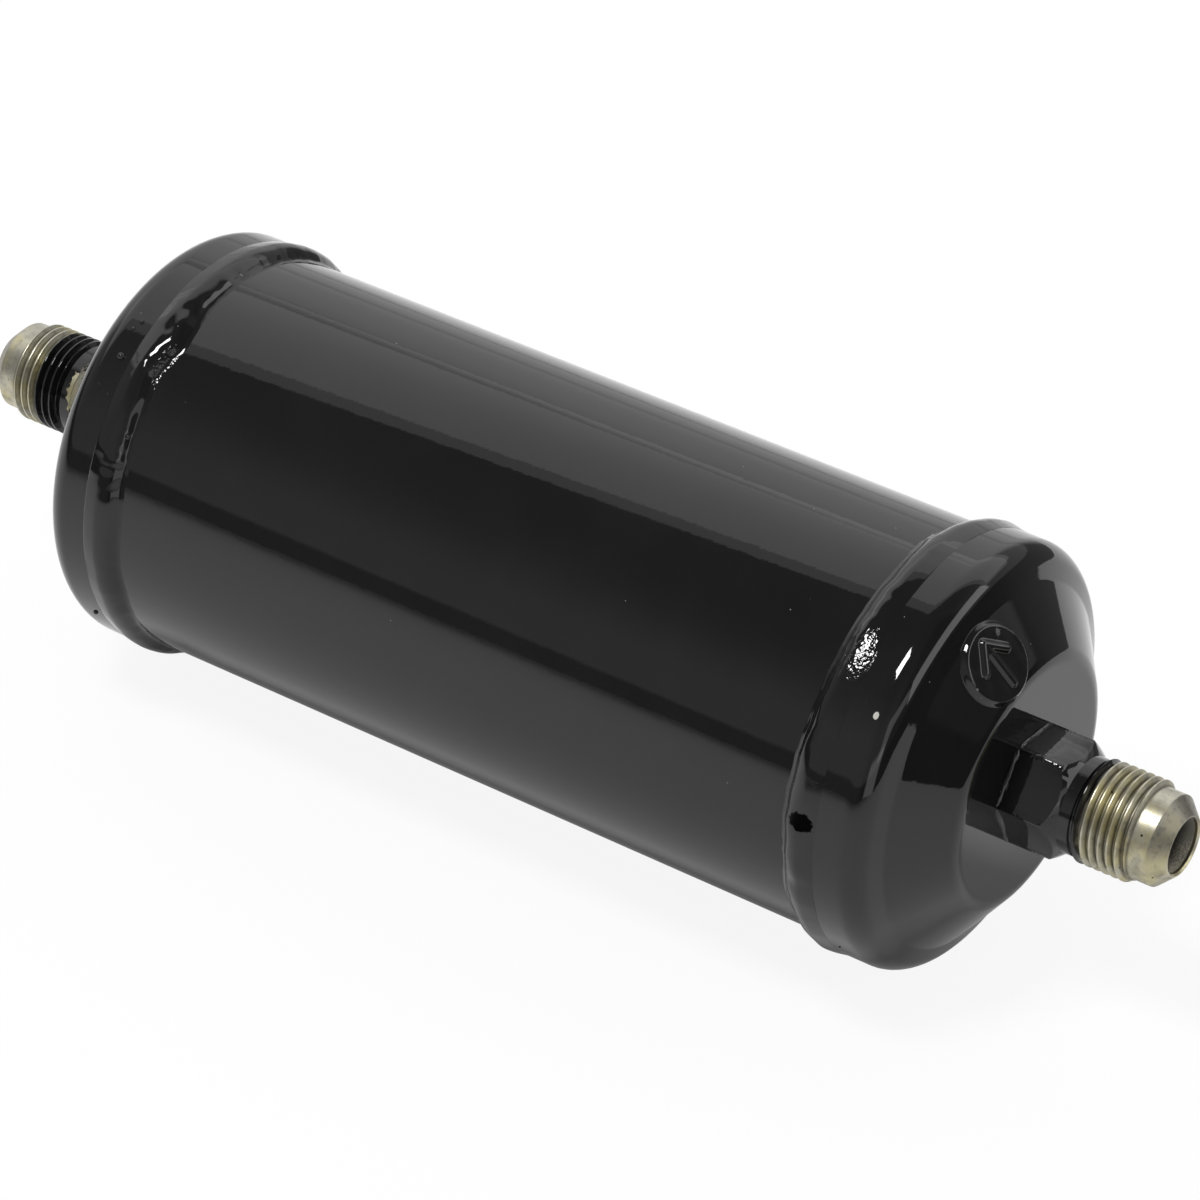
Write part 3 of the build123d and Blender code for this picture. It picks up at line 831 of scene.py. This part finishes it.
class DRIER_OT_stage(bpy.types.Operator):
    """Pale floor, white surroundings, soft lamps and the camera"""
    bl_idname = "drier.stage"
    bl_label = "Stage"

    def execute(self, context):
        scene = context.scene
        scene.view_settings.view_transform = "Standard"
        self.floor(scene)
        self.surroundings(scene)
        panel_lamp("Overhead_Panel", 0.15, 0.334, 0.425, (1.6, 0.42), 0.5)
        panel_lamp("Overhead_Fill", 0.10, 0.404, 0.427, (1.4, 0.48), 0.5)
        panel_lamp("Side_Panel", 0.85, -0.27, 0.47, (0.92, 0.36), 2.0, (0, 0, 0))
        panel_lamp("Key_Lamp", -0.295, -0.199, 0.958, (0.25, 0.25), 34.0, (0, 0, 0))
        self.camera(scene)
        return {"FINISHED"}

    def floor(self, scene):
        bm = bmesh.new()
        lay = Matrix((EYE_RIGHT, BEHIND, Vector((0, 0, 1)))).transposed().to_4x4()
        across, back = FLOOR_MIDDLE
        lay.translation = EYE_RIGHT * across + BEHIND * back + Vector((0, 0, FLOOR))
        lay = lay @ Matrix.Diagonal((*FLOOR_HALF, 1, 1))
        bmesh.ops.create_grid(bm, x_segments=1, y_segments=1, size=1.0, matrix=lay)
        mesh = bpy.data.meshes.new("floor")
        bm.to_mesh(mesh)
        bm.free()
        floor = bpy.data.objects.new("floor", mesh)
        scene.collection.objects.link(floor)
        material = bpy.data.materials.new("Pale_Floor")
        material.use_nodes = True
        tree = material.node_tree
        tree.nodes.clear()
        cloth = add_node(tree, "ShaderNodeBsdfDiffuse", {}, {"Color": (0.9, 0.9, 0.9, 1)})
        white = add_node(tree, "ShaderNodeEmission", {}, {"Color": (1, 1, 1, 1), "Strength": 1.0})
        seen = add_node(tree, "ShaderNodeLightPath", output="Is Camera Ray")
        mirrored = add_node(tree, "ShaderNodeLightPath", output="Is Glossy Ray")
        share = seen * 0.9 + mirrored * 0.12
        surface = add_node(tree, "ShaderNodeMixShader", {}, {0: share, 1: cloth, 2: white})
        add_node(tree, "ShaderNodeOutputMaterial", {}, {"Surface": surface})
        mesh.materials.append(material)

    def surroundings(self, scene):
        """White to the camera; to the lamps' light, pale behind the drier and dark behind the camera."""
        world = bpy.data.worlds.new("Studio")
        world.use_nodes = True
        tree = world.node_tree
        tree.nodes.clear()
        ray = add_node(tree, "ShaderNodeTexCoord", output="Generated")
        depth, across, rise = (
            add_node(tree, "ShaderNodeVectorMath", {"operation": "DOT_PRODUCT"}, {0: ray, 1: axis}, "Value")
            for axis in (BEHIND, EYE_RIGHT, Vector((0, 0, 1)))
        )
        seen = add_node(tree, "ShaderNodeLightPath", output="Is Camera Ray")
        # A pale window behind the drier
        bearing = across / depth
        window = depth.ramp(0.0, 0.3) * bearing.ramp(-1.3, -0.8) * bearing.ramp(0.6, 0.3) * rise.ramp(0.6, 0.51)
        glass = 0.74 - 0.22 * rise.ramp(0.06, 0.16) + 0.2 * rise.ramp(0.2, 0.5)
        # Dim walls, darker on the right of the camera
        dim = 1 - 0.75 * across.ramp(0.2, 0.45) * depth.ramp(0, -0.1)
        walls = 0.09 + rise.ramp(0.12, 0.16) * (0.28 - 0.2 * rise.ramp(0.4, 0.95)) * dim
        walls = walls + 0.1 * (across * depth).ramp(0.1, 0.4)
        # Two pale cards beside the camera, one low, the other higher and further right
        side = across / (0 - depth)
        front = depth.ramp(0, -0.2)
        low_card = front * side.ramp(-0.08, 0.02) * side.ramp(0.5, 0.4) * rise.ramp(0.32, 0.22)
        high_card = front * side.ramp(0.2, 0.3) * side.ramp(1.1, 1.0) * rise.ramp(0.54, 0.5)
        high_card = high_card * (rise - 0.17 * side.ramp(0.38, 0.6)).ramp(0.17, 0.21)
        room = walls + low_card * 1.1 + high_card * 0.95 + window * glass
        level = seen + (1 - seen) * room
        light = add_node(tree, "ShaderNodeBackground", {}, {"Color": (1, 1, 1, 1), "Strength": level})
        add_node(tree, "ShaderNodeOutputWorld", {}, {"Surface": light})
        scene.world = world

    def camera(self, scene):
        data = bpy.data.cameras.new("Camera")
        data.lens = LENS
        data.sensor_width = 36.0
        data.clip_end = 20.0
        camera = bpy.data.objects.new("Camera", data)
        turn = Matrix((EYE_RIGHT, EYE_UP, EYE_RIGHT.cross(EYE_UP))).transposed()
        camera.matrix_world = Matrix.Translation(EYE) @ turn.to_4x4()
        scene.collection.objects.link(camera)
        scene.camera = camera


class DRIER_OT_inner(bpy.types.Operator):
    """Finishes of the filter stack inside the shell"""
    bl_idname = "drier.inner"
    bl_label = "Filter stack"

    def execute(self, context):
        settings = context.scene.drier_finish
        finishes = {
            "outlet_plate": inner_steel("Punched_Plate_Steel", (0.62, 0.62, 0.60), 0.8),
            "spring_plate": inner_steel("Spring_Plate_Steel", (0.60, 0.60, 0.58), 0.75),
            "spring": inner_steel("Spring_Steel", (0.42, 0.42, 0.43), 0.7),
            "outlet_mesh": inner_steel("Wire_Mesh", (0.55, 0.54, 0.50), 0.6),
            "outlet_mat": fibre("Filter_Mat", (0.80, 0.79, 0.72)),
            "core_felt": fibre("Core_Felt", (0.74, 0.72, 0.66)),
            "desiccant_core": moulded_core(settings),
        }
        for name, material in finishes.items():
            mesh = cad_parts[name].data
            mesh.materials.clear()
            mesh.materials.append(material)
        return {"FINISHED"}


class DRIER_PT_panel(bpy.types.Panel):
    """Buttons that build the drier's pieces and its stage"""
    bl_idname = "DRIER_PT_panel"
    bl_label = "Filter Drier"
    bl_space_type = "VIEW_3D"
    bl_region_type = "UI"
    bl_category = "Drier"

    def draw(self, context):
        for operator in OPERATORS:
            self.layout.operator(operator.bl_idname)


SETTINGS = {"drier_shell": ShellSettings, "drier_fitting": FittingSettings, "drier_finish": FinishSettings}
OPERATORS = (
    DRIER_OT_tube, DRIER_OT_caps, DRIER_OT_pad, DRIER_OT_welds, DRIER_OT_fittings, DRIER_OT_braze,
    DRIER_OT_inner, DRIER_OT_stage,
)
CLASSES = (*SETTINGS.values(), *OPERATORS, DRIER_PT_panel)


def register():
    for cls in CLASSES:
        bpy.utils.register_class(cls)
    for name, group in SETTINGS.items():
        setattr(bpy.types.Scene, name, bpy.props.PointerProperty(type=group))


def unregister():
    for name in SETTINGS:
        delattr(bpy.types.Scene, name)
    for cls in reversed(CLASSES):
        bpy.utils.unregister_class(cls)


def main():
    register()
    bpy.ops.drier.tube()
    bpy.ops.drier.caps()
    bpy.ops.drier.pad()
    bpy.ops.drier.welds()
    bpy.ops.drier.fittings()
    bpy.ops.drier.braze()
    bpy.ops.drier.inner()
    bpy.ops.drier.stage()


if __name__ == "__main__":
    main()
